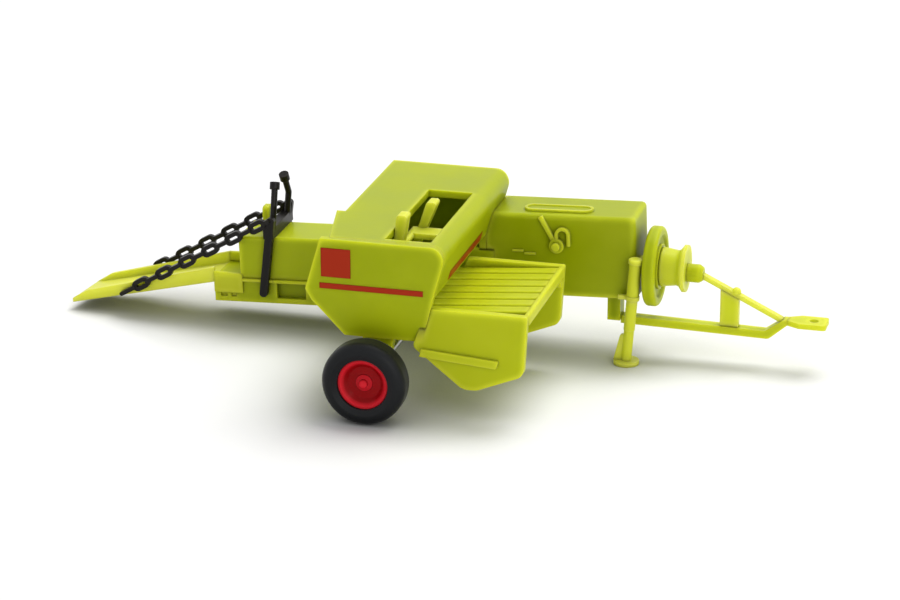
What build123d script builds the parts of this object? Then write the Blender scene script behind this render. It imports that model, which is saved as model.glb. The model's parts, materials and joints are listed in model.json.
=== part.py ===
from build123d import *
import os
from math import cos, hypot, radians, sin

# Scale model of a small square baler, 1:87, in millimetres.
# +X points forward along the drawbar, +Y to the machine's left, +Z up.
# X and heights (h) are measured from the wheel axle. The finished model is
# then moved so that its origin is on the ground, in the middle of its box.

# Wheels
wheel_radius = 4.0
tyre_width = 2.9
tyre_height = 1.55              # rim edge to tread
tyre_shoulder = 0.9
tyre_bulge = 0.25               # side wall beyond the bead
wheel_outer_y = 15.9            # outer side of each tyre from the middle
rim_gap = 0.02                  # tyre bead to rim
rim_inset = 0.45                # rim edge behind the tyre's side
rim_lip = 0.25
rim_slope = 0.6                 # width of the dish's slanting ring
dish_depth = 0.6
hub_radius = 0.8
hub_step = 0.12
hub_nose_radius = 0.42
hub_height = 0.6                # nose end above the dish's floor
hub_cap = 0.45                  # from the nose end down to the axle's hole
axle_radius = 0.4
axle_gap = 0.05                 # running clearance in the rim's bore
axle_seat_gap = 0.02            # where the axle sits fixed in the body
axle_end_gap = 0.05
axle_arm_y = -10.3              # outer side of the arm that holds the axle on the right
axle_arm_thick = 1.2
axle_arm_foot = 0.9             # half of its length, and its depth, round the axle
axle_arm_top = 1.6              # half of its length under the trough

# Main body: chamber, base and front housing climb together towards the front
body_climb = 2.3                # degrees
body_near_y = 7.2
chamber_width = 5.4
chamber_bottom_h = 1.75
chamber_top_h = 6.1
chamber_rear_x = -19.2
chamber_wall = 0.8
chamber_edge = 0.25             # rounding of the long edges
lug_x = -16.9                   # upright lug on the chamber's roof
lug_thick = 0.6
lug_width = 1.5
lug_height = 2.5
lug_y = 9.9

# Base frame under the chamber
base_length = 24.0
base_rear_x = -22.0
base_drop = 2.5                 # base underside below the chamber
base_rail = 0.5
base_ledge = 0.3                # ledge height, and how far it stands out
pocket_depth = 0.6
pocket_rows = ((-15.5, -12.5), (-11.7, -8.7), (-7.9, -4.9))     # rear and front X
slot_rows = ((-21.4, -20.7), (-20.3, -19.7))                    # rear and front X
slot_height = 0.35

# Front housing over the plunger
housing_rear_x = 6.9
housing_front_x = 20.95
housing_width = 6.0
housing_bottom_h = 1.6
housing_top_h = 9.72
housing_corner = 0.55           # upright front corners
housing_round = 0.45            # roof edges
pad_x = 13.1                    # raised oval pad on the roof, with a bead round it
pad_y = 1.9                     # from the near wall
pad_length = 6.8
pad_width = 1.8
pad_height = 0.14
pad_bead = 0.28
pad_bead_height = 0.24
crank_top_x = 11.7              # crank that lies on the near wall
crank_top_h = 9.6
crank_pin_x = 13.25
crank_pin_h = 6.75
crank_rod_width = 0.4
crank_rod_thick = 0.4
crank_boss_radius = 0.72
crank_boss_thick = 0.45
crank_pin_radius = 0.4
hook_radius = 0.75
hook_bar = 0.32
hook_rise = 1.1
wall_rib_rows = ((8.8, 5.95), (10.0, 5.7))                      # X and h of each short rib
wall_rib_length = 1.1
wall_rib_height = 0.2

# Feeder: hood, side panel and trough between the pickup and the chamber
feeder_near_y = -12.6
feeder_far_y = 12.4
feeder_wall = 0.7
hood_top_h = 12.85
hood_rear_x = -4.85
hood_near_rear_x = -4.1         # the near third of the rear edge flares out
hood_flare_x = -5.7
hood_flare_y = -4.2
hood_front_x = 6.4
hood_brow_x = 6.95
hood_brow_h = 11.6
hood_brow_round = 1.2
hood_face_drop = 3.8            # slanting front face below the brow
hood_face_run = 1.05
crease_h = 7.85
crease_rear_x = -6.3
trough_bottom_h = 3.3
trough_rear_x = -2.8
trough_front_x = 4.7
trough_knee_x = -5.75
trough_knee_h = 6.75
panel_tuck = 0.9                # lower edge of the side panel lies this far in

# Opening in the hood's top
window_rear_x = 1.0
window_front_x = 5.35
window_near_y = -11.1
window_far_y = 4.1

# Feeder forks on their arm
# middle Y, top h, middle X at the arm, lean as X over h, width in Y
fork_rows = ((-7.5, 14.2, 1.36, 0.13, 1.4), (-0.95, 13.5, 1.95, 0.37, 1.5))
fork_foot_h = 8.6
fork_foot_thick = 0.6
fork_tip_thick = 1.05
arm_top_h = 11.0
arm_height = 0.55
arm_near_y = -3.6
arm_width = 2.0
arm_rear_x = 1.0
fork_shaft_radius = 0.32

# Pickup
pickup_near_y = -12.0
pickup_far_y = 3.5
pickup_plate = 0.75
pickup_rear_x = 5.2
pickup_front_x = 14.7
pickup_top_h = 6.7
pickup_low_h = -0.9
plate_nose_h = 0.9              # where the plate's front edge ends
plate_nose_run = 0.35
plate_nose_round = 1.0
plate_low_front_x = 9.9         # level part of the lower edge
plate_low_rear_x = 8.6
plate_low_round = 1.5
plate_heel_x = 3.8
plate_heel_h = 2.9
plate_heel_round = 0.6
rib_rear_x = 4.7                # stiffening rib on the near plate
rib_front_x = 12.05
rib_top_h = 2.8
rib_drop = 0.55
rib_height = 0.75
rib_slant = 0.2
rib_thick = 0.3
deck_rear_x = 3.9               # the deck reaches over the trough's floor
deck_rear_h = 5.35
deck_front_h = 6.2
deck_thick = 0.55
band_count = 7
band_gap = 0.35
band_height = 0.4
band_near_margin = 0.9
front_bar_depth = 0.5
front_bar_height = 1.0
tab_width = 0.6
tab_drop = 0.7

# Flywheel, drive hub and input bearing
shaft_y = 9.5
shaft_h = 5.2
drive_shaft_radius = 0.9
flywheel_gap = 0.6              # from the housing's front
flywheel_radius = 3.9
flywheel_thick = 1.25
flywheel_round = 0.35
flywheel_dish_radius = 2.9
flywheel_dish_depth = 0.25
hub_root_radius = 1.95
hub_waist_radius = 1.7
hub_length = 2.2
flange_radius = 2.3
flange_thick = 0.35
flange_flare = 0.45
bearing_radius = 0.9
bearing_tip_radius = 0.65
bearing_length = 1.6
bearing_nose = 0.4
bearing_drop = 0.4

# Drawbar
drawbar_y = 9.5
beam_bend_x = 33.5
beam_height = 0.75
beam_width = 1.2
beam_rear_h = -0.75             # underside at the rear end
beam_bend_h = -1.05
beam_bend_round = 0.6
beam_bend_shift = 0.4           # upper corners of the bend lie this far back
strut_height = 0.5
strut_width = 0.75
strut_drop = 0.2                # its rear end below the bearing's middle
strut_end_x = 34.9
web_rear_x = 28.7
web_length = 1.8
web_thick = 0.8
lump_radius = 0.45              # small lump on the strut above the web
lump_inset = 0.3
tongue_rear_x = 35.3
tongue_length = 3.8
tongue_top_h = 1.0
tongue_thick = 0.5
tongue_rear_width = 1.2
tongue_width = 2.5
tongue_neck = 1.2               # length of the narrower part
tongue_shoulder = 0.5
tongue_round = 0.35
eye_radius = 0.45
eye_inset = 1.3
bracket_rear_x = 17.75
bracket_length = 1.25
bracket_width = 2.0
bracket_low_h = -0.38
bracket_reach = 2.0             # more than enough to meet the housing's slanting underside

# Jack
jack_x = 20.6                   # middle of the tube at the collar
jack_gap = 0.05                 # tube to the housing's wall
jack_lean = 0.075               # forward lean, as X over h
jack_tube_radius = 0.6
jack_bridge = 1.4               # height of the web that holds the tube to the wall
jack_top_h = 6.75
jack_cap_height = 0.45
jack_cap_spread = 0.1
jack_collar_h = 3.0
jack_collar_height = 0.4
jack_leg_radius = 0.55
jack_slim_radius = 0.5
jack_slim_h = -0.5
jack_foot_radius = 1.25
jack_foot_height = 0.4
gusset_rise = 2.6
gusset_top = 0.8                # its upper end from the leg's middle
gusset_thick = 0.4
collar_wing = 0.75

# Chute
chute_length = 15.3
chute_root_h = 1.2
chute_tip_h = -1.75
chute_floor = 0.4
chute_side = 1.0                # side height, growing towards the root
chute_root_side = 1.5
chute_side_wall = 0.45
chute_tip_run = 1.5             # the sides rise over this length at the tip
chute_tip_skew = 0.9

# Tension yoke and chains
yoke_inset = 2.0                # foot of the yoke ahead of the chamber's rear
yoke_bar = 0.8
yoke_bar_round = 0.35
yoke_thick = 0.6
yoke_lean = 0.15
yoke_foot_h = 0.05
yoke_beam_height = 1.1
yoke_beam_width = 1.0
yoke_gap = 0.02                 # bars to the chamber's walls
yoke_post = 1.1                 # bars rise past the beam by this
spindle_foot_inset = 0.9        # spindle's foot and knee in from the yoke's outer side
spindle_inset = 1.9             # its knob in from the same side
spindle_h = 11.45
spindle_radius = 0.32
knob_radius = 0.5
knob_height = 0.7
chain_top_h = 7.85
chain_lead = 0.45               # from the yoke's bar to the first link
chain_rear_x = -31.9
chain_end_h = -0.45
link_pairs = 6
link_length = 1.95
link_height = 1.15
link_slot = 0.28
link_thick = 0.5
joiner_length = 1.45
joiner_height = 0.42
joiner_thick = 0.75
chain_gap = 0.02                # chain to the wall beside it
chain_pin_radius = 0.2          # pin that ties the lower end to the chute's side


def block(x0, x1, y0, y1, z0, z1):
    """A box from its two corners."""
    return Pos((x0 + x1) / 2, (y0 + y1) / 2, (z0 + z1) / 2) * Box(x1 - x0, y1 - y0, z1 - z0)


def outline(points):
    """A closed flat outline. A third value of a point is the radius of its corner."""
    corners = [point[:2] for point in points]
    radii = [point[2] if len(point) > 2 else 0 for point in points]
    return make_face(FilletPolyline(*corners, radius=radii, close=True))


def side_plane(y):
    """A plane facing the machine's right, with X to the right and heights up."""
    return Plane(origin=(0, y, 0), x_dir=(1, 0, 0), z_dir=(0, -1, 0))


def side_prism(points, y0, y1):
    """An outline in X and h carried from y0 to y1."""
    return extrude(side_plane(y0) * outline(points), amount=y1 - y0, dir=(0, 1, 0))


def front_prism(points, x0, x1):
    """An outline in Y and h carried from x0 to x1."""
    plane = Plane(origin=(x0, 0, 0), x_dir=(0, 1, 0), z_dir=(1, 0, 0))
    return extrude(plane * outline(points), amount=x1 - x0, dir=(1, 0, 0))


def plan_prism(points, z0, z1):
    """An outline in X and Y carried from z0 to z1."""
    return extrude(Plane(origin=(0, 0, z0)) * outline(points), amount=z1 - z0, dir=(0, 0, 1))


def rod_y(y0, y1, x, z, radius):
    return Pos(x, (y0 + y1) / 2, z) * Rot(90, 0, 0) * Cylinder(radius, y1 - y0)


def turned_x(points, y, z):
    """A profile of (X, radius) points turned about a line along X at y and z."""
    return Pos(0, y, z) * revolve(outline(points), Axis.X)


# Levels and planes that several pieces share
body_far_y = body_near_y + chamber_width
housing_far_y = body_near_y + housing_width
base_bottom_h = chamber_bottom_h - base_drop
rim_radius = wheel_radius - tyre_height
ground_h = -wheel_radius
axle_hole_y = wheel_outer_y - rim_inset - dish_depth + hub_height - hub_cap
brow_slope = hood_face_run / hood_face_drop
flywheel_rear_x = housing_front_x + flywheel_gap
flywheel_front_x = flywheel_rear_x + flywheel_thick
flange_front_x = flywheel_front_x + hub_length + flange_thick
bearing_front_x = flange_front_x + bearing_length
trough_floor_h = trough_bottom_h + feeder_wall
chute_tip_x = base_rear_x - chute_length
tongue_front_x = tongue_rear_x + tongue_length
beam_rear_x = bracket_rear_x + bracket_length


def climb(piece):
    """Turns a piece of the main body about the axle, nose up."""
    return Rot(0, -body_climb, 0) * piece


def climbed(x, h):
    """Where a point of the main body comes to lie."""
    angle = radians(body_climb)
    return x * cos(angle) - h * sin(angle), h * cos(angle) + x * sin(angle)


def rounded_bar(x0, x1, y0, y1, z0, z1, radius):
    """A bar along X with its two upper edges rounded."""
    return front_prism([(y0, z0), (y1, z0), (y1, z1, radius), (y0, z1, radius)], x0, x1)


def chamber_envelope():
    return rounded_bar(chamber_rear_x, housing_rear_x, body_near_y, body_far_y,
                       chamber_bottom_h, chamber_top_h, chamber_edge)


def make_chamber():
    inner = block(chamber_rear_x - 1, housing_rear_x - chamber_wall,
                  body_near_y + chamber_wall, body_far_y - chamber_wall,
                  chamber_bottom_h + chamber_wall, chamber_top_h - chamber_wall)
    half = lug_width / 2
    lug = front_prism([(lug_y - half, chamber_top_h - chamber_wall / 2),
                       (lug_y + half, chamber_top_h - chamber_wall / 2),
                       (lug_y + half, chamber_top_h + lug_height, half / 2),
                       (lug_y - half, chamber_top_h + lug_height, half / 2)],
                      lug_x - lug_thick / 2, lug_x + lug_thick / 2)
    return climb(chamber_envelope() - inner + lug)


def make_base():
    front_x = base_rear_x + base_length
    near, far = body_near_y, body_far_y
    body = block(base_rear_x, front_x, near, far, base_bottom_h, chamber_bottom_h)
    ledge_x = pocket_rows[0][0] - base_ledge
    ledge_h = chamber_bottom_h - base_ledge
    body += block(ledge_x, front_x, near - base_ledge, near, ledge_h, chamber_bottom_h)
    body += block(ledge_x, pocket_rows[-1][1], far, far + base_ledge, ledge_h, chamber_bottom_h)
    for x0, x1 in pocket_rows:
        for y in (near, far):
            body -= block(x0, x1, y - pocket_depth, y + pocket_depth,
                          base_bottom_h + base_rail, chamber_bottom_h - base_ledge)
    for x0, x1 in slot_rows:
        body -= block(x0, x1, near - pocket_depth, near + pocket_depth,
                      base_bottom_h + base_rail, base_bottom_h + base_rail + slot_height)
    bore = rod_y(near - 1, far + 1, 0, 0, axle_radius + axle_seat_gap)
    return climb(body) - bore


def make_chute():
    near, far = body_near_y, body_far_y
    slope = (chute_root_h - chute_tip_h) / chute_length
    run = chute_floor / slope
    tray = side_prism([(chute_tip_x, chute_tip_h), (base_rear_x, chute_root_h),
                       (base_rear_x, chute_root_h + chute_floor),
                       (chute_tip_x + 0.1, chute_tip_h + chute_floor)], near, far)
    for y0, skew in ((near, 0), (far - chute_side_wall, chute_tip_skew)):
        start_x = chute_tip_x + skew + chute_tip_run
        side = [(chute_tip_x, chute_tip_h), (base_rear_x, chute_root_h),
                (base_rear_x, chute_root_h + chute_root_side),
                (start_x, chute_tip_h + slope * (skew + chute_tip_run) + chute_side, run),
                (chute_tip_x + skew, chute_tip_h + slope * skew + chute_floor),
                (chute_tip_x, chute_tip_h + chute_floor)][:5 if skew == 0 else 6]
        tray += side_prism(side, y0, y0 + chute_side_wall)
    over = chute_tip_skew / chamber_width
    skew = plan_prism([(chute_tip_x - over - 1, near - 1), (chute_tip_x - over - 1, far + 1),
                       (chute_tip_x + chute_tip_skew + over, far + 1), (chute_tip_x - over, near - 1)],
                      chute_tip_h - 1, chamber_top_h)
    return climb(tray - skew)


def hood_front(offset=0.0):
    """The hood's front line from the roof down, drawn in by offset."""
    low_x = hood_brow_x - hood_face_run - offset
    brow_round = hood_brow_round - offset
    return [(hood_front_x - offset, hood_top_h - offset, brow_round),
            (hood_brow_x - offset, hood_brow_h, brow_round),
            (low_x, hood_brow_h - hood_face_drop)]


def hood_section(top_rear_x, offset=0.0):
    """The hood's outline in X and h, its walls drawn in by offset."""
    low = hood_brow_h - hood_face_drop
    return ([(top_rear_x + offset, hood_top_h - offset)] + hood_front(offset)
            + [(crease_rear_x + offset, low)])


def hood_body(offset, y0, y1):
    """The hood's space, flared at the near end of the rear wall."""
    near_face = side_plane(y0) * outline(hood_section(hood_near_rear_x, offset))
    flare_face = side_plane(hood_flare_y) * outline(hood_section(hood_flare_x, offset))
    flared = loft([near_face, flare_face], ruled=True)
    return flared + side_prism(hood_section(hood_rear_x, offset), hood_flare_y, y1)


def make_hood():
    near = feeder_near_y + feeder_wall
    low = hood_brow_h - hood_face_drop
    body = hood_body(0, near, feeder_far_y)
    skirt_front_x = hood_brow_x - hood_face_run
    body += block(crease_rear_x, skirt_front_x, body_near_y, feeder_far_y, chamber_top_h - 1, low)
    body -= hood_body(feeder_wall, near, feeder_far_y - feeder_wall)
    body -= block(crease_rear_x + feeder_wall, skirt_front_x - feeder_wall, near - 1,
                  feeder_far_y - feeder_wall, chamber_top_h - 2, low + 0.01)
    body -= block(crease_rear_x - 1, skirt_front_x + 1, near - 1, body_near_y, chamber_top_h - 2, low)
    body -= block(window_rear_x, window_front_x, window_near_y, window_far_y,
                  hood_top_h - 2 * feeder_wall, hood_top_h + 1)
    body -= block(skirt_front_x - 2 * feeder_wall, skirt_front_x, near - 1, body_near_y,
                  low - 1, low + 0.01)
    return body - climb(chamber_envelope())


def make_housing():
    body = block(housing_rear_x - 2, housing_front_x, body_near_y, housing_far_y,
                 housing_bottom_h, housing_top_h)
    body = fillet(body.edges().filter_by(Axis.Z).group_by(Axis.X)[-1], housing_corner)
    roof_edges = body.faces().sort_by(Axis.Z)[-1].edges().sort_by(Axis.X)
    body = fillet(roof_edges[1:], housing_round)
    pad = SlotOverall(pad_length, pad_width)
    bead = pad - SlotOverall(pad_length - 2 * pad_bead, pad_width - 2 * pad_bead)
    pad_place = Pos(pad_x, body_near_y + pad_y, housing_top_h)
    body += pad_place * (extrude(pad, pad_height) + extrude(bead, pad_bead_height))
    body = climb(body + make_crank())
    hood = side_prism(hood_section(hood_rear_x), body_near_y - 1, housing_far_y + 1)
    hood += block(crease_rear_x, hood_brow_x - hood_face_run, body_near_y - 1, housing_far_y + 1,
                  chamber_bottom_h, hood_brow_h - hood_face_drop)
    return body - climb(chamber_envelope()) - hood


def make_crank():
    """The crank, its boss and hook, and two short ribs on the housing's near wall."""
    wall = body_near_y
    dx = crank_pin_x - crank_top_x
    dh = crank_pin_h - crank_top_h
    length = hypot(dx, dh)
    plane = Plane(origin=(crank_top_x, wall, crank_top_h), x_dir=(dx, 0, dh), z_dir=(0, -1, 0))
    rod = Pos(length / 2, 0) * Rectangle(length, crank_rod_width)
    crank = extrude(plane * rod, crank_rod_thick, dir=(0, -1, 0))
    crank += rod_y(wall - crank_boss_thick, wall, crank_pin_x, crank_pin_h, crank_boss_radius)
    crank += rod_y(wall - 2 * crank_boss_thick, wall, crank_pin_x, crank_pin_h, crank_pin_radius)
    loop = Circle(hook_radius) - Circle(hook_radius - hook_bar)
    loop -= Pos(0, -hook_radius) * Rectangle(3 * hook_radius, 2 * hook_radius)
    for side in (-1, 1):
        loop += Pos(side * (hook_radius - hook_bar / 2), -hook_rise / 2) * Rectangle(hook_bar, hook_rise)
    hook_x = crank_pin_x + hook_radius - hook_bar / 2
    crank += extrude(side_plane(wall) * Pos(hook_x, crank_pin_h + hook_rise) * loop, crank_rod_thick)
    for x, h in wall_rib_rows:
        crank += block(x, x + wall_rib_length, wall - wall_rib_height, wall, h, h + wall_rib_height)
    return crank


def make_side_panel():
    points = [(hood_rear_x, hood_top_h), *hood_front()[:2], (trough_front_x, trough_bottom_h),
              (trough_rear_x, trough_bottom_h), (trough_knee_x, trough_knee_h), (crease_rear_x, crease_h)]
    slab = side_prism(points, feeder_near_y, feeder_near_y + panel_tuck + 2 * feeder_wall)
    low = trough_bottom_h - 0.01
    section = [(feeder_near_y, hood_top_h + 1), (feeder_near_y, crease_h),
               (feeder_near_y + panel_tuck, low), (feeder_near_y + panel_tuck + feeder_wall, low),
               (feeder_near_y + feeder_wall, crease_h), (feeder_near_y + feeder_wall, hood_top_h + 1)]
    return slab & front_prism(section, crease_rear_x - 1, hood_brow_x + 1)


def make_trough():
    wall = feeder_wall
    low = hood_brow_h - hood_face_drop
    points = [(trough_front_x, trough_bottom_h), (trough_front_x, trough_floor_h),
              (trough_rear_x + wall / 2, trough_floor_h), (trough_knee_x + wall, trough_knee_h + wall / 3),
              (crease_rear_x + wall, crease_h), (crease_rear_x + wall, low), (crease_rear_x, low),
              (trough_knee_x, trough_knee_h), (trough_rear_x, trough_bottom_h)]
    near = feeder_near_y + wall
    inside = [(near, hood_top_h), (near, crease_h), (near + panel_tuck, trough_bottom_h),
              (body_near_y, trough_bottom_h), (body_near_y, hood_top_h)]
    trough = side_prism(points, near - 1, body_near_y)
    trough = trough & front_prism(inside, crease_rear_x - 1, trough_front_x + 1)
    return trough - make_base() - climb(chamber_envelope())


def make_forks():
    forks = None
    for y, top_h, x, lean, width in fork_rows:
        foot_x = x - lean * (arm_top_h - fork_foot_h)
        tip_x = x + lean * (top_h - arm_top_h)
        foot, tip = fork_foot_thick / 2, fork_tip_thick / 2
        fork = side_prism([(foot_x - foot, fork_foot_h, foot / 2), (foot_x + foot, fork_foot_h, foot / 2),
                           (tip_x + tip, top_h, tip / 2), (tip_x - tip, top_h, tip / 2)],
                          y - width / 2, y + width / 2)
        forks = fork if forks is None else forks + fork
    inner_x = hood_brow_x - feeder_wall - brow_slope * (hood_brow_h - arm_top_h)
    arm_low_h = arm_top_h - arm_height
    low_x = inner_x - brow_slope * arm_height
    arm = side_prism([(arm_rear_x, arm_low_h), (low_x, arm_low_h), (inner_x, arm_top_h),
                      (arm_rear_x, arm_top_h)], arm_near_y, arm_near_y + arm_width)
    shaft = rod_y(fork_rows[0][0], arm_near_y + arm_width / 2, fork_rows[0][2],
                  arm_top_h - arm_height / 2, fork_shaft_radius)
    return forks + arm + shaft


def plate_face():
    return [(pickup_rear_x, pickup_top_h), (pickup_front_x, pickup_top_h, front_bar_depth / 3),
            (pickup_front_x - plate_nose_run, plate_nose_h, plate_nose_round),
            (plate_low_front_x, pickup_low_h, plate_low_round),
            (plate_low_rear_x, pickup_low_h, plate_low_round),
            (plate_heel_x, plate_heel_h, plate_heel_round)]


def make_pickup_plate(y0, y1):
    return side_prism(plate_face(), y0, y1)


def make_near_plate():
    plate = make_pickup_plate(pickup_near_y, pickup_near_y + pickup_plate)
    plate += side_prism([(rib_rear_x, rib_top_h), (rib_front_x, rib_top_h - rib_drop),
                         (rib_front_x - rib_slant, rib_top_h - rib_drop - rib_height, rib_slant),
                         (rib_rear_x - rib_slant, rib_top_h - rib_height)],
                        pickup_near_y - rib_thick, pickup_near_y + rib_thick)
    plate = plate - make_side_panel() - make_trough()
    return plate.solids().sort_by(SortBy.VOLUME)[-1]


def make_far_plate():
    plate = make_pickup_plate(pickup_far_y - pickup_plate, pickup_far_y) - make_trough()
    return plate.solids().sort_by(SortBy.VOLUME)[-1]


def deck_top(x):
    share = (x - deck_rear_x) / (pickup_front_x - front_bar_depth - deck_rear_x)
    return deck_rear_h + (deck_front_h - deck_rear_h) * share


def make_deck():
    y0 = pickup_near_y + pickup_plate
    y1 = pickup_far_y - pickup_plate
    front_x = pickup_front_x - front_bar_depth
    deck = side_prism([(deck_rear_x, deck_rear_h - deck_thick), (front_x, deck_front_h - deck_thick),
                       (front_x, deck_front_h), (deck_rear_x, deck_rear_h)], y0, y1)
    pitch = (y1 - y0 - band_near_margin) / band_count
    width = pitch - band_gap
    for number in range(band_count):
        near = y0 + band_near_margin + band_gap + pitch * number
        low = deck_top(deck_rear_x) - deck_thick / 2
        high = deck_top(deck_rear_x) + band_height
        section = [(near, low), (near + width, low), (near + width, high, band_height / 2),
                   (near, high, band_height / 2)]
        plane = Plane(origin=(deck_rear_x, 0, 0), x_dir=(0, 1, 0), z_dir=(1, 0, 0))
        rise = deck_top(front_x) - deck_top(deck_rear_x)
        band = extrude(plane * outline(section), amount=hypot(front_x - deck_rear_x, rise),
                       dir=(front_x - deck_rear_x, 0, rise))
        deck += band
    deck = deck & block(deck_rear_x, front_x, y0, y1, deck_rear_h - 2, pickup_top_h)
    return deck - make_side_panel() - make_trough()


def make_front_bar():
    y0 = pickup_near_y + pickup_plate
    y1 = pickup_far_y - pickup_plate
    x0 = pickup_front_x - front_bar_depth
    top = pickup_top_h
    bar = side_prism([(x0, top - front_bar_height), (pickup_front_x, top - front_bar_height),
                      (pickup_front_x, top, front_bar_depth / 3), (x0, top, front_bar_depth / 3)], y0, y1)
    tab_y = y1 - 2 * tab_width
    tab = block(x0, pickup_front_x, tab_y, tab_y + tab_width,
                top - front_bar_height - tab_drop, top - front_bar_height + 0.1)
    return bar + tab


def wheel_side(ring, side):
    return ring if side > 0 else mirror(ring, Plane.XZ)


def make_tyre(side):
    outer = wheel_outer_y
    inner = wheel_outer_y - tyre_width
    wall_radius = rim_radius + tyre_height / 3
    points = [(rim_radius, inner + tyre_bulge), (wall_radius, inner),
              (wheel_radius, inner, tyre_shoulder), (wheel_radius, outer, tyre_shoulder),
              (wall_radius, outer), (rim_radius, outer - tyre_bulge)]
    return wheel_side(revolve(outline(points), Axis.Y), side)


def make_rim(side):
    outer = wheel_outer_y - rim_inset
    inner = wheel_outer_y - tyre_width + rim_inset
    radius = rim_radius - rim_gap
    bore = axle_radius + axle_gap
    floor_y = outer - dish_depth
    dish = radius - rim_lip - rim_slope
    nose_y = floor_y + hub_height
    edge = rim_lip / 3
    points = [(bore, inner), (radius, inner), (radius, outer, edge), (radius - rim_lip, outer, edge),
              (dish, floor_y), (hub_radius, floor_y),
              (hub_radius, floor_y + hub_step, hub_step / 2), (hub_nose_radius, floor_y + 2 * hub_step),
              (hub_nose_radius, nose_y, hub_nose_radius / 2), (0, nose_y),
              (0, axle_hole_y), (bore, axle_hole_y)]
    return wheel_side(revolve(outline(points), Axis.Y), side)


def make_axle():
    end = axle_hole_y - axle_end_gap
    return rod_y(-end, end, 0, 0, axle_radius)


def make_axle_arm():
    foot, top = axle_arm_foot, axle_arm_top
    end_y = axle_arm_y + axle_arm_thick
    arm = side_prism([(-foot, 0), (-foot, -foot, foot / 2), (foot, -foot, foot / 2), (foot, 0),
                      (top, trough_bottom_h), (-top, trough_bottom_h)], axle_arm_y, end_y)
    return arm - rod_y(axle_arm_y - 1, end_y + 1, 0, 0, axle_radius + axle_seat_gap)


def make_flywheel():
    rear, front = flywheel_rear_x, flywheel_front_x
    dish = flywheel_dish_depth
    return turned_x([(rear, 0), (rear, flywheel_radius, flywheel_round),
                     (front, flywheel_radius, flywheel_round), (front, flywheel_dish_radius + dish),
                     (front - dish, flywheel_dish_radius), (front - dish, hub_root_radius + dish),
                     (front, hub_root_radius + dish), (front, 0)], shaft_y, shaft_h)


def make_drive_shaft():
    rear_x = housing_front_x - 1
    stub = turned_x([(rear_x, 0), (rear_x, drive_shaft_radius), (flywheel_rear_x, drive_shaft_radius),
                     (flywheel_rear_x, 0)], shaft_y, shaft_h)
    return stub - make_housing()


def make_drive_hub():
    x0 = flywheel_front_x
    x1 = x0 + hub_length
    x2 = flange_front_x
    return turned_x([(x0, 0), (x0, hub_root_radius, 0.2), (x1 - flange_flare, hub_waist_radius, 0.4),
                     (x1, flange_radius), (x2, flange_radius), (x2, 0)], shaft_y, shaft_h)


def make_bearing():
    x0, x1 = flange_front_x, bearing_front_x
    return turned_x([(x0, 0), (x0, bearing_radius), (x1 - bearing_nose, bearing_radius, bearing_nose / 2),
                     (x1, bearing_tip_radius), (x1, 0)], shaft_y, shaft_h - bearing_drop)


def make_drawbar_beam():
    top = tongue_top_h
    low = tongue_top_h - tongue_thick
    return side_prism([(beam_rear_x, beam_rear_h), (beam_bend_x, beam_bend_h, beam_bend_round),
                       (tongue_rear_x, low), (tongue_rear_x, top), (tongue_rear_x - beam_bend_shift, top),
                       (beam_bend_x - beam_bend_shift, beam_bend_h + beam_height, beam_bend_round / 2),
                       (beam_rear_x, beam_rear_h + beam_height)],
                      drawbar_y - beam_width / 2, drawbar_y + beam_width / 2)


def make_tongue():
    x0 = tongue_rear_x
    x1 = tongue_front_x
    near, far = drawbar_y - tongue_width / 2, drawbar_y + tongue_width / 2
    neck = tongue_rear_width / 2
    shoulder_x = x0 + tongue_neck
    plate = plan_prism([(x0, drawbar_y - neck), (shoulder_x, near, tongue_shoulder),
                        (x1, near, tongue_round), (x1, far, tongue_round),
                        (shoulder_x, far, tongue_shoulder), (x0, drawbar_y + neck)],
                       tongue_top_h - tongue_thick, tongue_top_h)
    return plate - Pos(x1 - eye_inset, drawbar_y, tongue_top_h) * Cylinder(eye_radius, 3)


def strut_line():
    """The strut's ends, as X and h of its middle."""
    return (bearing_front_x, shaft_h - bearing_drop - strut_drop,
            strut_end_x, tongue_top_h - strut_height / 2)


def make_strut():
    x0, h0, x1, h1 = strut_line()
    half = strut_height / 2
    bar = side_prism([(x0, h0 - half), (x0, h0 + half), (x1, h1 + half), (x1, h1 - half)],
                     drawbar_y - strut_width / 2, drawbar_y + strut_width / 2)
    lump_x = web_rear_x + web_length - lump_inset
    lump_h = h0 + (h1 - h0) * (lump_x - x0) / (x1 - x0) + half
    bar += Pos(lump_x, drawbar_y, lump_h) * Sphere(lump_radius)
    return bar - make_drawbar_beam()


def make_web():
    x0, h0, x1, h1 = strut_line()

    def strut_low(x):
        return h0 + (h1 - h0) * (x - x0) / (x1 - x0) - strut_height / 2

    def beam_top(x):
        share = (x - beam_rear_x) / (beam_bend_x - beam_rear_x)
        return beam_rear_h + (beam_bend_h - beam_rear_h) * share + beam_height / 2

    front_x = web_rear_x + web_length
    web = side_prism([(web_rear_x, beam_top(web_rear_x)), (front_x, beam_top(front_x)),
                      (front_x, strut_low(front_x)), (web_rear_x, strut_low(web_rear_x))],
                     drawbar_y - web_thick / 2, drawbar_y + web_thick / 2)
    return web - make_drawbar_beam() - make_strut()


def make_bracket():
    half = bracket_width / 2
    bracket = block(bracket_rear_x, beam_rear_x, drawbar_y - half, drawbar_y + half,
                    bracket_low_h, housing_bottom_h + bracket_reach)
    return bracket - make_drawbar_beam() - make_housing()


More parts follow.
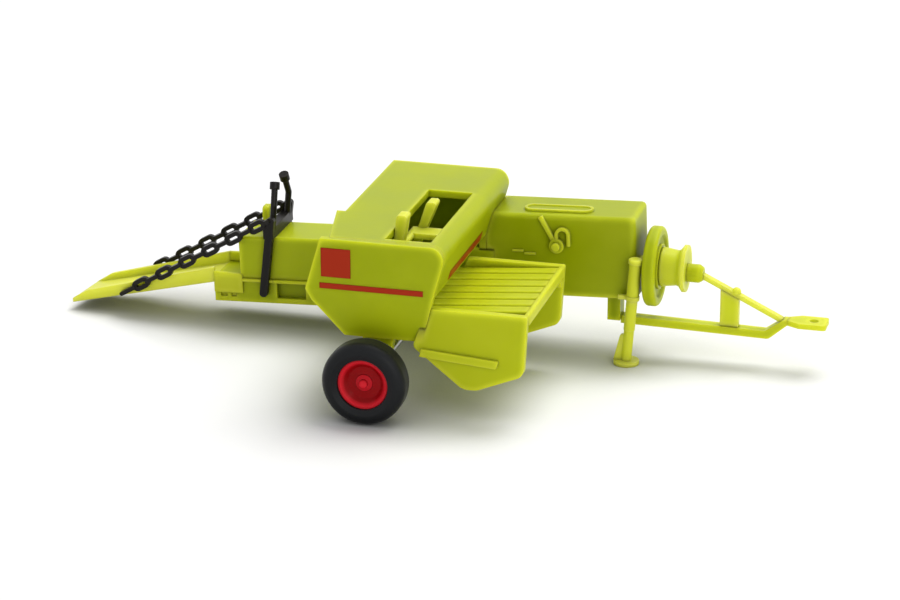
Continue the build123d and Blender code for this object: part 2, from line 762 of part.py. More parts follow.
def make_jack():
    y = body_near_y - jack_gap - jack_tube_radius

    def at(h):
        return jack_x + jack_lean * (h - jack_collar_h)

    def leaning(h0, h1, radius):
        run = Vector(at(h1) - at(h0), 0, h1 - h0)
        plane = Plane(origin=(at(h0), y, h0), z_dir=run)
        return extrude(plane * Circle(radius), run.length)

    low_h = jack_collar_h - jack_collar_height
    foot_h = ground_h + jack_foot_height
    tube = leaning(jack_collar_h, jack_top_h - jack_cap_height, jack_tube_radius)
    cap = leaning(jack_top_h - jack_cap_height, jack_top_h, jack_tube_radius + jack_cap_spread)
    tube += chamfer(cap.edges().filter_by(GeomType.CIRCLE).sort_by(Axis.Z)[-1], jack_cap_spread)
    bridge_h = (jack_top_h + jack_collar_h) / 2
    tube += block(at(bridge_h) - jack_tube_radius / 2, at(bridge_h) + jack_tube_radius / 2,
                  y, body_near_y + 1, bridge_h - jack_bridge / 2, bridge_h + jack_bridge / 2)
    collar = leaning(low_h, jack_collar_h, jack_tube_radius + jack_cap_spread)
    collar += block(at(low_h) - jack_tube_radius - collar_wing, at(low_h), y - gusset_thick / 2,
                    y + gusset_thick / 2, low_h, jack_collar_h)
    leg = leaning(jack_slim_h, low_h, jack_leg_radius) + leaning(foot_h, jack_slim_h, jack_slim_radius)
    gusset = side_prism([(at(foot_h) - jack_foot_radius, foot_h), (at(foot_h), foot_h),
                         (at(foot_h + gusset_rise), foot_h + gusset_rise),
                         (at(foot_h + gusset_rise) - gusset_top, foot_h + gusset_rise, gusset_thick / 2)],
                        y - gusset_thick / 2, y + gusset_thick / 2)
    foot = Pos(at(foot_h), y, ground_h) * extrude(Circle(jack_foot_radius), jack_foot_height)
    return tube + collar - make_housing(), leg + gusset, foot


def yoke_rear_x(h):
    """Rear side of the yoke's leaning bars."""
    return chamber_rear_x + yoke_inset + yoke_lean * (h - yoke_foot_h)


def make_yoke():
    near = body_near_y - yoke_thick
    far = body_far_y + yoke_thick
    top_h = chamber_top_h + yoke_beam_height
    at = yoke_rear_x

    def leaning(h0, h1, y0, y1):
        return side_prism([(at(h0), h0, yoke_bar_round), (at(h0) + yoke_bar, h0, yoke_bar_round),
                           (at(h1) + yoke_bar, h1, yoke_bar_round), (at(h1), h1, yoke_bar_round)], y0, y1)

    yoke = leaning(yoke_foot_h, top_h + yoke_post, near, body_near_y - yoke_gap)
    yoke += leaning(yoke_foot_h, top_h + yoke_post, body_far_y + yoke_gap, far)
    beam_x = at(chamber_top_h) + (yoke_bar - yoke_beam_width) / 2
    yoke += block(beam_x, beam_x + yoke_beam_width, near, far, chamber_top_h, top_h)
    for side, wall in ((1, near), (-1, far)):
        foot = Vector(at(top_h) + yoke_bar / 2, wall + side * spindle_foot_inset, top_h - yoke_thick)
        knee_h = (top_h + spindle_h) / 2
        knee = Vector(at(knee_h) + yoke_bar / 2, foot.Y, knee_h)
        tip = Vector(at(spindle_h), wall + side * spindle_inset, spindle_h)
        for start, end in ((foot, knee), (knee, tip)):
            run = end - start
            yoke += extrude(Plane(origin=start, z_dir=run) * Circle(spindle_radius), run.length)
        yoke += Pos(knee) * Sphere(spindle_radius)
        yoke += Plane(origin=tip, z_dir=tip - knee) * extrude(Circle(knob_radius), -knob_height)
    return climb(yoke)


def make_chain(y, wall_y):
    """One moulded chain: upright oval links joined by links seen edge on."""
    start_x = yoke_rear_x(chain_top_h)
    dx = chain_rear_x - start_x
    dh = chain_end_h - chain_top_h
    length = hypot(dx, dh)
    plane = Plane(origin=(start_x, y, chain_top_h), x_dir=(dx, 0, dh), z_dir=(0, 1, 0))
    link_step = link_length - 2 * link_slot
    oval = SlotOverall(link_length, link_height)
    oval -= SlotOverall(link_length - link_height + link_slot, link_slot)

    def joiner(start, end):
        bar = Pos((start + end) / 2, 0) * SlotOverall(end - start, joiner_height)
        return extrude(plane * bar, joiner_thick / 2, both=True)

    chain = joiner(-yoke_bar / 2, chain_lead)
    for number in range(link_pairs):
        start = chain_lead + (link_step + joiner_length) * number
        end = start + link_step
        chain += extrude(plane * Pos((start + end) / 2, 0) * oval, link_thick / 2, both=True)
        chain += joiner(end, length if number == link_pairs - 1 else end + joiner_length)
    pin = rod_y(min(y, wall_y), max(y, wall_y), chain_rear_x - joiner_height / 2 * dx / length,
                chain_end_h - joiner_height / 2 * dh / length, chain_pin_radius)
    return climb(chain + pin) - make_yoke()


jack_tube, jack_leg, jack_foot = make_jack()
pieces = {
    "bale_chamber": make_chamber(),
    "base_frame": make_base(),
    "bale_chute": make_chute(),
    "front_housing": make_housing(),
    "feeder_hood": make_hood(),
    "side_panel": make_side_panel(),
    "feeder_trough": make_trough(),
    "feeder_forks": make_forks(),
    "pickup_plate_right": make_near_plate(),
    "pickup_plate_left": make_far_plate(),
    "pickup_deck": make_deck(),
    "pickup_front_bar": make_front_bar(),
    "axle": make_axle(),
    "axle_arm": make_axle_arm(),
    "flywheel": make_flywheel(),
    "drive_shaft": make_drive_shaft(),
    "drive_hub": make_drive_hub(),
    "input_bearing": make_bearing(),
    "drawbar_beam": make_drawbar_beam(),
    "drawbar_tongue": make_tongue(),
    "drawbar_strut": make_strut(),
    "drawbar_web": make_web(),
    "front_bracket": make_bracket(),
    "jack_tube": jack_tube,
    "jack_leg": jack_leg,
    "jack_foot": jack_foot,
    "tension_yoke": make_yoke(),
    "chain_right": make_chain(body_near_y - chain_gap - joiner_thick / 2, body_near_y),
    "chain_left": make_chain(body_far_y + chain_gap + joiner_thick / 2, body_far_y),
    "tyre_right": make_tyre(-1),
    "rim_right": make_rim(-1),
    "tyre_left": make_tyre(1),
    "rim_left": make_rim(1),
}

chute_end_x = climbed(chute_tip_x, chute_tip_h + chute_floor)[0]
mid_x = (tongue_front_x + chute_end_x) / 2
os.makedirs("parts", exist_ok=True)
for name, solid in pieces.items():
    export_step(Pos(-mid_x, 0, wheel_radius) * solid, f"parts/{name}.step")
print("overall length", tongue_front_x - chute_end_x, "middle at", mid_x)
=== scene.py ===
import bpy
import bmesh
import json
from math import cos, radians, sin
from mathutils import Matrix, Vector


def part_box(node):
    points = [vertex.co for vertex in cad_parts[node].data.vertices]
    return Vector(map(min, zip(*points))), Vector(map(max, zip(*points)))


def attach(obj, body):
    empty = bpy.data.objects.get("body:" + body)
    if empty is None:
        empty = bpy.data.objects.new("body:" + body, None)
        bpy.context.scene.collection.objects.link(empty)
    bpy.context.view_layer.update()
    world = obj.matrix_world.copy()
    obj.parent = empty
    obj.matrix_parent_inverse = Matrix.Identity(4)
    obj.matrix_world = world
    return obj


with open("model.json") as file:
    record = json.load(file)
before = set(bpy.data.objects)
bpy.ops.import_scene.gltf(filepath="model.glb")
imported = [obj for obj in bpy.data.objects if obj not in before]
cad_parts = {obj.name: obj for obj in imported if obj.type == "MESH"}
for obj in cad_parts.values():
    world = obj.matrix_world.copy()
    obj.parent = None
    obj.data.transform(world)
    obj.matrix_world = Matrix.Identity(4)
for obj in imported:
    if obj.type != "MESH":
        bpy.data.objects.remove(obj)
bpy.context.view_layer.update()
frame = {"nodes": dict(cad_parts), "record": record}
nodes = frame["nodes"]
print("frame loaded:", len(nodes), "nodes")

# camera, at the photograph's height and angle
cameraSet = {"place": (0.08142, -0.29172, 0.11605), "tilt": 70.2, "turn": 15.0, "lens": 134.4,
             "sensor": 36.0, "nearest": 0.01}
cameraData = bpy.data.cameras.new("photoCamera")
cameraData.lens = cameraSet["lens"]
cameraData.sensor_width = cameraSet["sensor"]
cameraData.clip_start = cameraSet["nearest"]
cameraObject = bpy.data.objects.new("photoCamera", cameraData)
cameraObject.location = cameraSet["place"]
cameraObject.rotation_euler = (radians(cameraSet["tilt"]), 0, radians(cameraSet["turn"]))
bpy.context.scene.collection.objects.link(cameraObject)
bpy.context.scene.camera = cameraObject
bpy.context.scene.view_settings.view_transform = "Standard"


def newMaterial(name):
    material = bpy.data.materials.new(name)
    material.use_nodes = True
    tree = material.node_tree
    tree.nodes.clear()
    return material, tree


def addNode(tree, kind, **values):
    # values are node properties, or inputs by name with spaces left out
    node = tree.nodes.new(kind)
    for key, value in values.items():
        if hasattr(node, key):
            setattr(node, key, value)
        else:
            found = [socket for socket in node.inputs if socket.name.replace(" ", "") == key]
            found[0].default_value = value
    return node


def connect(tree, *wires):
    # a wire is a node and its output, then a node and its input, each by name or number
    for source, output, target, socket in wires:
        tree.links.new(source.outputs[output], target.inputs[socket])


def addColourMix(tree, first, second):
    mix = addNode(tree, "ShaderNodeMix", data_type="RGBA")
    mix.inputs[6].default_value = first  # the mix node's colour A
    mix.inputs[7].default_value = second  # its colour B
    return mix


mixedColour = 2  # number of the mix node's colour output

# lime plastic: thin walls get a painted glow, a paler colour that stands in for light passing through the
# thin moulding, and edges get painted highlights
limePlastic = {"base": (0.40, 0.47, 0.0015, 1), "light": (0.68, 0.73, 0.025, 1), "rough": 0.38,
               "mottle": 160.0, "grain": 2600.0, "grainDepth": 0.00001, "edge": 0.00016, "thin": 0.0006,
               "glow": 0.8, "glowRadius": (0.0012, 0.0012, 0.0003), "gloss": 0.12,
               "recess": 0.55, "sheen": 0.0}
# lit and shaded copies of the one lime plastic: painted shade darkens the hood and the front housing, whose
# paler edge colour paints highlights on its corners, painted light brightens the chamber, and painted glow
# brightens the thin parts and the foot
paintedShadeHoodLime = dict(limePlastic, base=(0.385, 0.45, 0.0014, 1), recess=0.62)
paintedShadeHousingLime = dict(limePlastic, base=(0.37, 0.435, 0.0013, 1), light=(0.75, 0.79, 0.05, 1))
paintedLightChamberLime = dict(limePlastic, base=(0.455, 0.53, 0.003, 1), light=(0.70, 0.75, 0.03, 1))
paintedGlowLime = dict(limePlastic, base=(0.52, 0.575, 0.005, 1), light=(0.73, 0.77, 0.04, 1))
paintedStrongGlowLime = dict(limePlastic, base=(0.70, 0.75, 0.03, 1), light=(0.84, 0.87, 0.11, 1))
paintedFloorGlowLime = dict(paintedStrongGlowLime, recess=1.0)  # painted glow with no painted recess shade, as the white floor lights it from below
blackPlastic = {"base": (0.007, 0.006, 0.005, 1), "light": (0.02, 0.017, 0.014, 1), "rough": 0.34,
                "mottle": 300.0, "grain": 3200.0, "grainDepth": 0.00001, "edge": 0.0001, "thin": 0.0003,
                "glow": 0.0, "glowRadius": (0.001, 0.001, 0.001), "gloss": 0.18,
                "recess": 0.6, "sheen": 0.02}
# its far paler colour paints highlights on the rim's thin lip and the hub's nose
redPlastic = {"base": (0.28, 0.0015, 0.002, 1), "light": (0.82, 0.02, 0.035, 1), "rough": 0.22,
              "mottle": 260.0, "grain": 3000.0, "grainDepth": 0.000006, "edge": 0.00012, "thin": 0.0006,
              "glow": 0.1, "glowRadius": (0.001, 0.0002, 0.0002), "gloss": 0.08,
              "recess": 0.45, "sheen": 0.0}
printedRed = dict(redPlastic, base=(0.37, 0.018, 0.004, 1), light=(0.43, 0.03, 0.008, 1), rough=0.35,
                  glow=0.0)
tyrePlastic = {"base": (0.007, 0.008, 0.009, 1), "light": (0.014, 0.015, 0.017, 1), "rough": 0.42,
               "mottle": 220.0, "grain": 2400.0, "grainDepth": 0.000014, "edge": 0.0001, "thin": 0.0003,
               "glow": 0.0, "glowRadius": (0.001, 0.001, 0.001), "gloss": 0.17,
               "recess": 0.6, "sheen": 0.12}
axleSteel = {"base": (0.45, 0.45, 0.46, 1), "light": (0.7, 0.7, 0.7, 1), "rough": 0.3,
             "mottle": 300.0, "grain": 3000.0, "grainDepth": 0.000005, "edge": 0.0001, "thin": 0.0002,
             "glow": 0.0, "glowRadius": (0.001, 0.001, 0.001), "gloss": 0.5,
             "recess": 0.5, "sheen": 0.0}

# how each finish turns its thin walls and edges into painted glow, its recesses into painted shade, and its
# mottle into colour and roughness
mouldSet = {"thickWall": 0.97, "thinWall": 0.40, "thinShare": 0.85,
            "recessReach": 0.0022, "recessDeep": 0.25, "recessOpen": 0.85,
            "mottleLow": 0.35, "mottleHigh": 0.65, "mottleShare": 0.16,
            "roughLow": 0.3, "roughHigh": 0.7, "smoother": 0.05, "rougher": 0.06,
            "grainStrength": 0.6, "sheenRough": 0.35, "samples": 8, "edgeSamples": 6}


def mouldedMaterial(name, look, metallic=0.0):
    # a slow mottle, fine grain, a painted glow on thin walls, painted highlights on edges, and painted shade
    # in recesses
    material, tree = newMaterial(name)
    place = addNode(tree, "ShaderNodeTexCoord")
    mottle = addNode(tree, "ShaderNodeTexNoise", Scale=look["mottle"], Detail=3.0, Roughness=0.5)
    mottleRange = addNode(tree, "ShaderNodeMapRange", FromMin=mouldSet["mottleLow"],
                          FromMax=mouldSet["mottleHigh"], ToMin=0.0, ToMax=mouldSet["mottleShare"])
    roughRange = addNode(tree, "ShaderNodeMapRange", FromMin=mouldSet["roughLow"],
                         FromMax=mouldSet["roughHigh"], ToMin=look["rough"] - mouldSet["smoother"],
                         ToMax=look["rough"] + mouldSet["rougher"])
    # the inner occlusion finds thin walls and edges, which take the painted glow colour
    wall = addNode(tree, "ShaderNodeAmbientOcclusion", samples=mouldSet["samples"], inside=True,
                   only_local=True, Distance=look["thin"])
    wallRange = addNode(tree, "ShaderNodeMapRange", FromMin=mouldSet["thickWall"],
                        FromMax=mouldSet["thinWall"], ToMin=0.0, ToMax=mouldSet["thinShare"])
    paintedGlowAndMottle = addNode(tree, "ShaderNodeMath", operation="ADD", use_clamp=True)
    colour = addColourMix(tree, look["base"], look["light"])
    # painted shade: the colour darkens where other surfaces, the floor too, are close by
    recess = addNode(tree, "ShaderNodeAmbientOcclusion", samples=mouldSet["samples"],
                     Distance=mouldSet["recessReach"])
    recessShadeRange = addNode(tree, "ShaderNodeMapRange", FromMin=mouldSet["recessDeep"],
                          FromMax=mouldSet["recessOpen"], ToMin=look["recess"], ToMax=1.0)
    paintedShadeColour = addNode(tree, "ShaderNodeVectorMath", operation="SCALE")
    bevel = addNode(tree, "ShaderNodeBevel", samples=mouldSet["edgeSamples"], Radius=look["edge"])
    grain = addNode(tree, "ShaderNodeTexNoise", Scale=look["grain"], Detail=2.0)
    bump = addNode(tree, "ShaderNodeBump", Strength=mouldSet["grainStrength"], Distance=look["grainDepth"])
    shader = addNode(tree, "ShaderNodeBsdfPrincipled", Metallic=metallic, SubsurfaceWeight=look["glow"],
                     SubsurfaceRadius=look["glowRadius"], SubsurfaceScale=1.0,
                     SpecularIORLevel=look["gloss"], SheenWeight=look["sheen"],
                     SheenRoughness=mouldSet["sheenRough"])
    output = addNode(tree, "ShaderNodeOutputMaterial")
    connect(tree,
            (place, "Object", mottle, "Vector"),
            (place, "Object", grain, "Vector"),
            (wall, "AO", wallRange, "Value"),
            (mottle, "Fac", mottleRange, "Value"),
            (wallRange, "Result", paintedGlowAndMottle, 0),
            (mottleRange, "Result", paintedGlowAndMottle, 1),
            (paintedGlowAndMottle, "Value", colour, "Factor"),
            (recess, "AO", recessShadeRange, "Value"),
            (colour, mixedColour, paintedShadeColour, 0),
            (recessShadeRange, "Result", paintedShadeColour, "Scale"),
            (paintedShadeColour, "Vector", shader, "Base Color"),
            (grain, "Fac", bump, "Height"),
            (bevel, "Normal", bump, "Normal"),
            (bump, "Normal", shader, "Normal"),
            (mottle, "Fac", roughRange, "Value"),
            (roughRange, "Result", shader, "Roughness"),
            (shader, "BSDF", output, "Surface"))
    return material


finishes = {"green_plastic": mouldedMaterial("limePlastic", limePlastic),
            "hood": mouldedMaterial("paintedShadeHoodLime", paintedShadeHoodLime),
            "thick": mouldedMaterial("paintedShadeHousingLime", paintedShadeHousingLime),
            "chamber": mouldedMaterial("paintedLightChamberLime", paintedLightChamberLime),
            "pale": mouldedMaterial("paintedGlowLime", paintedGlowLime),
            "bright": mouldedMaterial("paintedStrongGlowLime", paintedStrongGlowLime),
            "foot": mouldedMaterial("paintedFloorGlowLime", paintedFloorGlowLime),
            "black_plastic": mouldedMaterial("blackPlastic", blackPlastic),
            "red_plastic": mouldedMaterial("redPlastic", redPlastic),
            "print": mouldedMaterial("printedRed", printedRed),
            "tyre_plastic": mouldedMaterial("tyrePlastic", tyrePlastic),
            "axle_steel": mouldedMaterial("axleSteel", axleSteel, metallic=1.0)}
# nodes that don't take the finish of their slot
# the hood and thick finishes paint shade, the chamber finish paints light, and the glow finishes paint light
# through thin parts
finishGroups = {"hood": ("feeder_hood",),
                "thick": ("front_housing",),
                "chamber": ("bale_chamber",),
                "pale": ("pickup_plate_right", "pickup_plate_left", "pickup_deck", "pickup_front_bar",
                         "input_bearing", "drawbar_beam", "drawbar_tongue"),
                "bright": ("bale_chute", "feeder_forks", "drive_hub", "drive_shaft", "drawbar_strut",
                           "drawbar_web", "jack_tube", "jack_leg"),
                "foot": ("jack_foot",)}
nodeFinish = {node: finish for finish, group in finishGroups.items() for node in group}
for subpart in frame["record"]["subparts"]:
    nodeMaterials = nodes[subpart["node"]].data.materials
    nodeMaterials.clear()
    nodeMaterials.append(finishes[nodeFinish.get(subpart["node"], subpart["material_slot"])])
print("finishes:", len(finishes))

# the body's own frame, as in the part: X and height in millimetres from the axle, nose up
bodySet = {"climb": 2.3, "axleHeight": 4.0}
millimetres = 1000  # in a metre
axleLow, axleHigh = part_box("rim_right")
axleX = (axleLow[0] + axleHigh[0]) / 2


def bodyPoint(x, y, h, climb=bodySet["climb"]):
    angle = radians(climb)
    return ((x * cos(angle) - h * sin(angle)) / millimetres + axleX, y / millimetres,
            (h * cos(angle) + x * sin(angle) + bodySet["axleHeight"]) / millimetres)


meshSet = {"merge": 0.000001, "bevelSteps": 3}


def finishMesh(name, mesh, finish):
    shape = bmesh.new()
    shape.from_mesh(mesh)
    bmesh.ops.remove_doubles(shape, verts=shape.verts, dist=meshSet["merge"])
    bmesh.ops.recalc_face_normals(shape, faces=shape.faces)
    shape.to_mesh(mesh)
    shape.free()
    mesh.materials.clear()
    mesh.materials.append(finishes[finish])
    piece = bpy.data.objects.new(name, mesh)
    bpy.context.scene.collection.objects.link(piece)
    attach(piece, "root")


def plateMesh(name, outlines, climb=bodySet["climb"]):
    # each outline has its corners' X and h, its near and far Y, and its bevel
    shape = bmesh.new()
    for corners, nearY, farY, bevel in outlines:
        near, far = [[shape.verts.new(bodyPoint(x, y, h, climb)) for x, h in corners] for y in (nearY, farY)]
        shape.faces.new(near)
        shape.faces.new(list(reversed(far)))
        sides = []
        for k in range(len(corners)):
            after = (k + 1) % len(corners)
            sides.append(shape.faces.new((near[k], far[k], far[after], near[after])))
        if bevel:
            edges = list(dict.fromkeys(edge for face in sides for edge in face.edges))  # each edge once
            bmesh.ops.bevel(shape, geom=edges, offset=bevel / millimetres, segments=meshSet["bevelSteps"],
                            profile=0.5, affect="EDGES")
    mesh = bpy.data.meshes.new(name)
    shape.to_mesh(mesh)
    shape.free()
    return mesh


# chute root: side plates that run past the base's end to the chamber, and the ledge behind the yoke
chuteSet = {"rearX": -22.0, "frontX": -19.0, "nearLow": 0.2, "nearTop": 2.15, "nearRise": 0.2,
            "farTop": 2.7, "farSetBack": 0.2, "shelf": 1.75, "nearY": 7.2, "farY": 12.6, "thick": 0.45,
            "proud": 0.2, "ledgeFrontX": -15.8, "ledgeLow": 1.45, "ledgeProud": 0.1, "ledgeSunk": 0.05,
            "bevel": 0.06}
rearX, frontX, ledgeFrontX = chuteSet["rearX"], chuteSet["frontX"], chuteSet["ledgeFrontX"]
farFrontX = frontX - chuteSet["farSetBack"]
shelf = chuteSet["shelf"]
nearPlate = [(rearX, chuteSet["nearLow"]), (frontX, chuteSet["nearLow"]),
             (frontX, chuteSet["nearTop"]), (rearX, chuteSet["nearTop"] + chuteSet["nearRise"])]
farPlate = [(rearX, shelf), (farFrontX, shelf), (farFrontX, chuteSet["farTop"]), (rearX, chuteSet["farTop"])]
ledge = [(frontX, chuteSet["ledgeLow"]), (ledgeFrontX, chuteSet["ledgeLow"]),
         (ledgeFrontX, shelf), (frontX, shelf)]
outerY = chuteSet["nearY"] - chuteSet["proud"]
rootMesh = plateMesh("chuteRootPlates", (
    (nearPlate, outerY, chuteSet["nearY"] + chuteSet["thick"] - chuteSet["proud"], chuteSet["bevel"]),
    (farPlate, chuteSet["farY"] - chuteSet["thick"], chuteSet["farY"], chuteSet["bevel"]),
    (ledge, outerY - chuteSet["ledgeProud"], chuteSet["nearY"] + chuteSet["ledgeSunk"],
     chuteSet["bevel"])))
finishMesh("chuteRootPlates", rootMesh, "pale")


def rectangle(xs, hs):
    return [(xs[0], hs[0]), (xs[1], hs[0]), (xs[1], hs[1]), (xs[0], hs[1])]


# floors of the two slots in the base, so that they are shallow
slotSet = {"rows": ((-21.4, -20.7), (-20.3, -19.7)), "h": (-0.25, 0.1), "y": 7.34, "deep": 0.3}
slotMesh = plateMesh("slotFloors", [
    (rectangle(row, slotSet["h"]), slotSet["y"], slotSet["y"] + slotSet["deep"], 0)
    for row in slotSet["rows"]])
finishMesh("slotFloors", slotMesh, "green_plastic")
print("root plates and slots ready")

# flat round marks that the mould's ejector pins leave: name, first place, pitch and count of each row
markSet = {"rows": (("baseMarks", (-18.0, 9.9, -0.75), 6.0, 3), ("housingMarks", (9.5, 10.2, 1.6), 4.0, 2)),
           "outerRadius": 0.80, "innerRadius": 0.88, "proud": 0.03, "depth": 0.13, "sides": 32}


def newMarkTree():
    tree = bpy.data.node_groups.new("ejectorMarks", "GeometryNodeTree")
    for socketName, kind in (("Count", "Int"), ("Start", "Vector"), ("Step", "Vector"), ("Turn", "Vector"),
                             ("Outer Radius", "Float"), ("Inner Radius", "Float"), ("Depth", "Float"),
                             ("Finish", "Material")):
        tree.interface.new_socket(name=socketName, in_out="INPUT", socket_type="NodeSocket" + kind)
    tree.interface.new_socket(name="Marks", in_out="OUTPUT", socket_type="NodeSocketGeometry")
    sizes = addNode(tree, "NodeGroupInput")
    row = addNode(tree, "GeometryNodeMeshLine", mode="OFFSET")
    disc = addNode(tree, "GeometryNodeMeshCone", Vertices=markSet["sides"])
    spread = addNode(tree, "GeometryNodeInstanceOnPoints")
    realized = addNode(tree, "GeometryNodeRealizeInstances")
    paint = addNode(tree, "GeometryNodeSetMaterial")
    result = addNode(tree, "NodeGroupOutput")
    connect(tree,
            (sizes, "Count", row, "Count"),
            (sizes, "Start", row, "Start Location"),
            (sizes, "Step", row, "Offset"),
            (sizes, "Inner Radius", disc, "Radius Top"),
            (sizes, "Outer Radius", disc, "Radius Bottom"),
            (sizes, "Depth", disc, "Depth"),
            (row, "Mesh", spread, "Points"),
            (disc, "Mesh", spread, "Instance"),
            (sizes, "Turn", spread, "Rotation"),
            (spread, "Instances", realized, "Geometry"),
            (realized, "Geometry", paint, "Geometry"),
            (sizes, "Finish", paint, "Material"),
            (paint, "Geometry", result, "Marks"))
    return tree


markTree = newMarkTree()
markSockets = {item.name: item.identifier for item in markTree.interface.items_tree
               if item.in_out == "INPUT"}
for rowName, (firstX, rowY, faceH), pitch, count in markSet["rows"]:
    lowH = faceH - markSet["proud"]
    start = Vector(bodyPoint(firstX, rowY, lowH))
    markInputs = {"Count": count, "Start": start,
                  "Step": Vector(bodyPoint(firstX + pitch, rowY, lowH)) - start,
                  "Turn": (0, -radians(bodySet["climb"]), 0),
                  "Outer Radius": markSet["outerRadius"] / millimetres,
                  "Inner Radius": markSet["innerRadius"] / millimetres,
                  "Depth": markSet["depth"] / millimetres,
                  "Finish": finishes["green_plastic"]}
    carrier = bpy.data.objects.new(rowName + "Carrier", bpy.data.meshes.new(rowName + "Carrier"))
    bpy.context.scene.collection.objects.link(carrier)
    marks = carrier.modifiers.new("marks", "NODES")
    marks.node_group = markTree
    for socketName, value in markInputs.items():
        marks[markSockets[socketName]] = value
    evaluated = carrier.evaluated_get(bpy.context.evaluated_depsgraph_get())
    markMesh = bpy.data.meshes.new_from_object(evaluated)
    bpy.data.objects.remove(carrier)
    finishMesh(rowName, markMesh, "green_plastic")
    print(rowName, "with", len(markMesh.polygons), "faces")

# plain printed marks: a blank square and a bare stripe on the side panel, and a stripe on the hood's face
printSet = {"squareX": (-4.75, -1.9), "squareH": (9.2, 12.0), "stripeX": (-4.9, 5.0), "stripeH": (8.05, 8.6),
            "panelY": -12.6, "thick": 0.02, "faceY": (-7.4, 4.6), "faceH": (8.0, 8.95),
            "faceTop": (6.95, 11.6), "faceLow": (5.9, 7.8)}
panelY = printSet["panelY"]
panelPrint = plateMesh("panelPrint", [
    (rectangle(printSet[xs], printSet[hs]), panelY - printSet["thick"], panelY, 0)
    for xs, hs in (("squareX", "squareH"), ("stripeX", "stripeH"))], climb=0)
finishMesh("panelPrint", panelPrint, "print")

topX, topH = printSet["faceTop"]
lowX, lowH = printSet["faceLow"]
lean = (topX - lowX) / (topH - lowH)
faceLine = [(lowX + lean * (h - lowH), h) for h in printSet["faceH"]]
faceCorners = faceLine + [(x + printSet["thick"], h) for x, h in reversed(faceLine)]
facePrint = plateMesh("facePrint", [(faceCorners, *printSet["faceY"], 0)], climb=0)
finishMesh("facePrint", facePrint, "print")
print("print ready")

# white floor: it keeps the object's shadow, deepened near the model by a painted shadow where the model is
# close above, and is plain white to the camera further out
floorSet = {"size": 3.0, "fadeStart": 0.09, "fadeEnd": 0.22, "bounce": (0.88, 0.88, 0.88, 1),
            "white": (1, 1, 1, 1), "shadeReach": 0.010, "shadeDeep": 0.25, "shadeOpen": 0.92,
            "shadeDarkest": 0.42, "samples": 16}
half = floorSet["size"] / 2
floorMesh = bpy.data.meshes.new("floor")
floorMesh.from_pydata([(-half, -half, 0), (half, -half, 0), (half, half, 0), (-half, half, 0)], [],
                      [(0, 1, 2, 3)])
floor = bpy.data.objects.new("floor", floorMesh)
bpy.context.scene.collection.objects.link(floor)
floorMaterial, floorTree = newMaterial("whiteFloor")
rays = addNode(floorTree, "ShaderNodeLightPath")
floorColour = addColourMix(floorTree, floorSet["bounce"], floorSet["white"])
# painted shadow: the floor's colour darkens where the model is close above it
paintedFloorShadow = addNode(floorTree, "ShaderNodeAmbientOcclusion", samples=floorSet["samples"],
                  Distance=floorSet["shadeReach"])
paintedShadowRange = addNode(floorTree, "ShaderNodeMapRange", FromMin=floorSet["shadeDeep"],
                     FromMax=floorSet["shadeOpen"], ToMin=floorSet["shadeDarkest"], ToMax=1.0)
floorShade = addNode(floorTree, "ShaderNodeVectorMath", operation="SCALE")
floorDiffuse = addNode(floorTree, "ShaderNodeBsdfDiffuse")
floorPlace = addNode(floorTree, "ShaderNodeTexCoord")
floorFar = addNode(floorTree, "ShaderNodeVectorMath", operation="LENGTH")
farRange = addNode(floorTree, "ShaderNodeMapRange", FromMin=floorSet["fadeStart"],
                   FromMax=floorSet["fadeEnd"])
farSeen = addNode(floorTree, "ShaderNodeMath", operation="MULTIPLY")
plainWhite = addNode(floorTree, "ShaderNodeEmission", Color=floorSet["white"], Strength=1.0)
floorBlend = addNode(floorTree, "ShaderNodeMixShader")
floorOutput = addNode(floorTree, "ShaderNodeOutputMaterial")
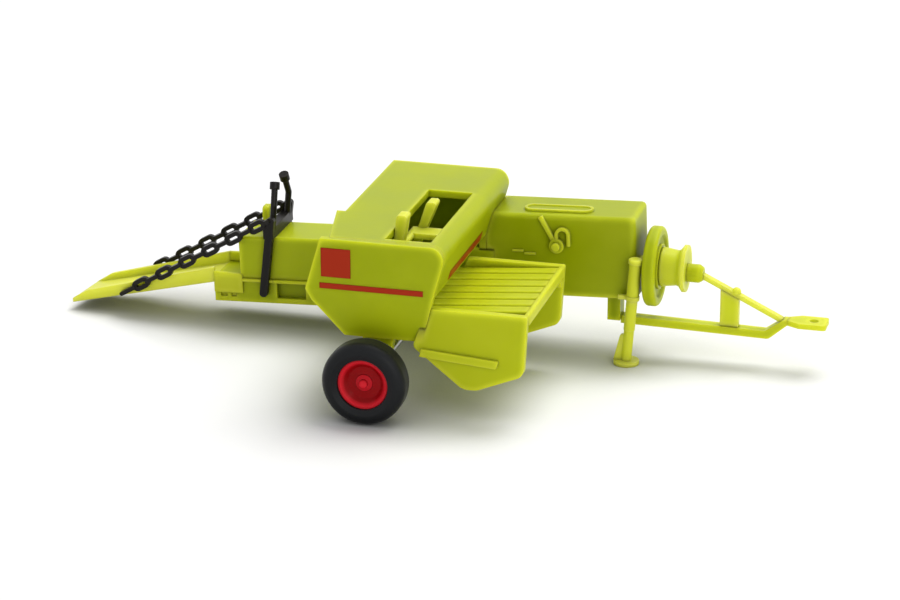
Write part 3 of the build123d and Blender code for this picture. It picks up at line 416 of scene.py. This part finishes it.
connect(floorTree,
        (rays, "Is Camera Ray", floorColour, "Factor"),
        (paintedFloorShadow, "AO", paintedShadowRange, "Value"),
        (floorColour, mixedColour, floorShade, 0),
        (paintedShadowRange, "Result", floorShade, "Scale"),
        (floorShade, "Vector", floorDiffuse, "Color"),
        (floorPlace, "Object", floorFar, 0),
        (floorFar, "Value", farRange, "Value"),
        (farRange, "Result", farSeen, 0),
        (rays, "Is Camera Ray", farSeen, 1),
        (farSeen, "Value", floorBlend, 0),
        (floorDiffuse, "BSDF", floorBlend, 1),
        (plainWhite, "Emission", floorBlend, 2),
        (floorBlend, "Shader", floorOutput, "Surface"))
floorMesh.materials.append(floorMaterial)

# soft studio light: a panel above and behind, a weak one in front on the right, and an even white room
lampSets = ({"name": "topPanel", "power": 4.2, "size": 0.5, "place": (0.15, 0.30, 0.70)},
            {"name": "frontPanel", "power": 1.2, "size": 0.5, "place": (0.45, -0.55, 0.30)})
for lampSet in lampSets:
    lampData = bpy.data.lights.new(lampSet["name"], "AREA")
    lampData.energy = lampSet["power"]
    lampData.size = lampSet["size"]
    lampObject = bpy.data.objects.new(lampSet["name"], lampData)
    lampObject.location = lampSet["place"]
    lampObject.rotation_euler = Vector(lampSet["place"]).to_track_quat("Z", "Y").to_euler()
    bpy.context.scene.collection.objects.link(lampObject)

# the room is plain white to the camera and in reflections, and weaker where it lights the model
roomSet = {"lighting": 0.46, "seen": 1.0, "colour": (1, 1, 1, 1)}
room = bpy.data.worlds.new("whiteRoom")
bpy.context.scene.world = room
room.use_nodes = True
roomTree = room.node_tree
roomTree.nodes.clear()
roomRays = addNode(roomTree, "ShaderNodeLightPath")
seenDirect = addNode(roomTree, "ShaderNodeMath", operation="MAXIMUM")
seenAll = addNode(roomTree, "ShaderNodeMath", operation="MAXIMUM")
roomStrength = addNode(roomTree, "ShaderNodeMapRange", ToMin=roomSet["lighting"], ToMax=roomSet["seen"])
roomLight = addNode(roomTree, "ShaderNodeBackground", Color=roomSet["colour"])
roomOutput = addNode(roomTree, "ShaderNodeOutputWorld")
connect(roomTree,
        (roomRays, "Is Camera Ray", seenDirect, 0),
        (roomRays, "Is Glossy Ray", seenDirect, 1),
        (seenDirect, "Value", seenAll, 0),
        (roomRays, "Is Transmission Ray", seenAll, 1),
        (seenAll, "Value", roomStrength, "Value"),
        (roomStrength, "Result", roomLight, "Strength"),
        (roomLight, "Background", roomOutput, "Surface"))
print("stage ready")
